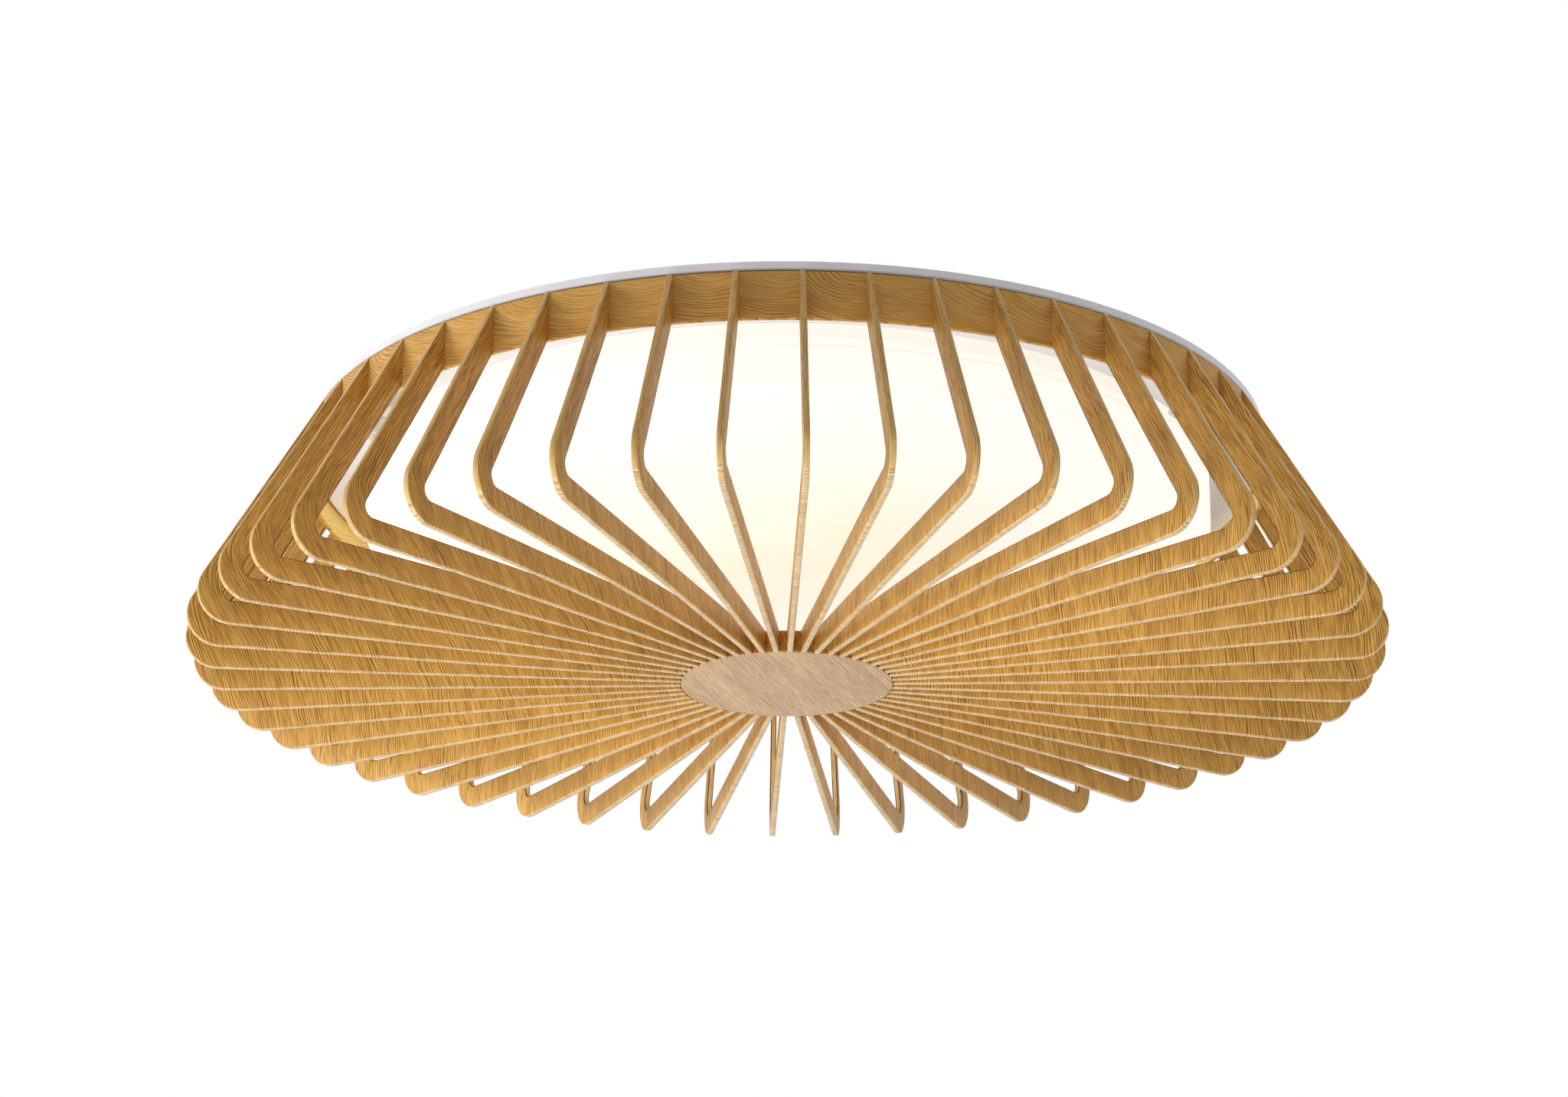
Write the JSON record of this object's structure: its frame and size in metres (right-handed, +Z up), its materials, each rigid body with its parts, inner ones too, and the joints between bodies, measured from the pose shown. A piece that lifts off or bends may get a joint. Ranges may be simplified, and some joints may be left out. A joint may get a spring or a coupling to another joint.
{
  "type": "flush mount ceiling light",
  "caption": "Round flush ceiling light: an opal drum behind a cage of thin radial oak fins that bend in under it to a central disc, hung from a white pan.",
  "frame": {"origin": "centre of the plane where the lamp meets the ceiling, midway between the strap's two screw slots", "axes": "+Z up into the ceiling, +X along the ceiling strap, -Y towards the viewer of the picture"},
  "size_m": [0.5996, 0.5998, 0.1254],
  "materials": {
    "oak_fins": "oak veneer on thin plywood, satin lacquer",
    "oak_band": "oak veneer, satin lacquer",
    "oak_disc": "pale oak, satin lacquer",
    "block_wood": "beech, painted white",
    "white_enamel": "white powder coat on steel sheet",
    "opal_acrylic": "opal acrylic, satin, lit from inside",
    "zinc_steel": "bright zinc plated",
    "nut_metal": "fluted, white powder coat",
    "board_white": "aluminium circuit board with white mask",
    "chip_phosphor": "white chip bodies with yellow phosphor",
    "white_moulding": "moulded, fine matt",
    "green_board": "glass fibre circuit board, green mask",
    "component_black": "moulded electronic components",
    "brass_tube": "plain turned",
    "grey_rubber": "moulded",
    "mains_lead": "brown and blue insulated leads",
    "output_lead": "red and black insulated leads",
    "earth_sleeve": "green and yellow insulated lead"
  },
  "bodies": {
    "base": {"ceiling_pan": "white_enamel", "diffuser_collar": "white_enamel", "mounting_strap": "zinc_steel", "shade_studs": "zinc_steel", "strap_studs": "zinc_steel", "cap_nuts": "zinc_steel", "cap_washers": "zinc_steel", "board_screws": "zinc_steel", "collar_screws": "zinc_steel", "driver_screws": "zinc_steel", "terminal_fixing_screw": "zinc_steel", "terminal_screws": "zinc_steel", "earth_screw": "zinc_steel", "earth_tag": "zinc_steel", "light_board": "board_white", "light_chips": "chip_phosphor", "driver_plate": "white_moulding", "driver_tub": "white_moulding", "driver_board": "green_board", "driver_components": "component_black", "terminal_block": "white_moulding", "terminal_tubes": "brass_tube", "cable_grommet": "grey_rubber", "board_connector": "white_moulding", "input_leads": "mains_lead", "output_leads": "output_lead", "earth_lead": "earth_sleeve"},
    "shade": {"band": "oak_band", "hub_disc": "oak_disc", "hanger_blocks": "block_wood", "nut_washers": "nut_metal", "fin_pair_01": "oak_fins", "fin_pair_02": "oak_fins", "fin_pair_03": "oak_fins", "fin_pair_04": "oak_fins", "fin_pair_05": "oak_fins", "fin_pair_06": "oak_fins", "fin_pair_07": "oak_fins", "fin_pair_08": "oak_fins", "fin_pair_09": "oak_fins", "fin_pair_10": "oak_fins", "fin_pair_11": "oak_fins", "fin_pair_12": "oak_fins", "fin_pair_13": "oak_fins", "fin_pair_14": "oak_fins", "fin_pair_15": "oak_fins", "fin_pair_16": "oak_fins", "fin_pair_17": "oak_fins", "fin_pair_18": "oak_fins", "fin_pair_19": "oak_fins", "fin_pair_20": "oak_fins", "fin_pair_21": "oak_fins", "fin_pair_22": "oak_fins", "fin_pair_23": "oak_fins", "fin_pair_24": "oak_fins", "fin_pair_25": "oak_fins"},
    "diffuser": {"diffuser": "opal_acrylic"},
    "nut_1": {"thumb_nut_1": "nut_metal"},
    "nut_2": {"thumb_nut_2": "nut_metal"},
    "nut_3": {"thumb_nut_3": "nut_metal"}
  },
  "joints": [
    {"name": "shade_drop", "type": "slide", "parent": "base", "child": "shade", "axis": [0, 0, -1], "range_m": [0, 0.08]},
    {"name": "diffuser_twist", "type": "hinge", "parent": "base", "child": "diffuser", "pos_m": [0, 0, -0.0343], "axis": [0, 0, -1], "range_deg": [0, 12]},
    {"name": "nut_1_spin", "type": "hinge", "parent": "shade", "child": "nut_1", "pos_m": [0.19997, -0.11545, -0.0332], "axis": [0, 0, -1], "continuous": true},
    {"name": "nut_2_spin", "type": "hinge", "parent": "shade", "child": "nut_2", "pos_m": [0, 0.2309, -0.0332], "axis": [0, 0, -1], "continuous": true},
    {"name": "nut_3_spin", "type": "hinge", "parent": "shade", "child": "nut_3", "pos_m": [-0.19997, -0.11545, -0.0332], "axis": [0, 0, -1], "continuous": true}
  ]
}
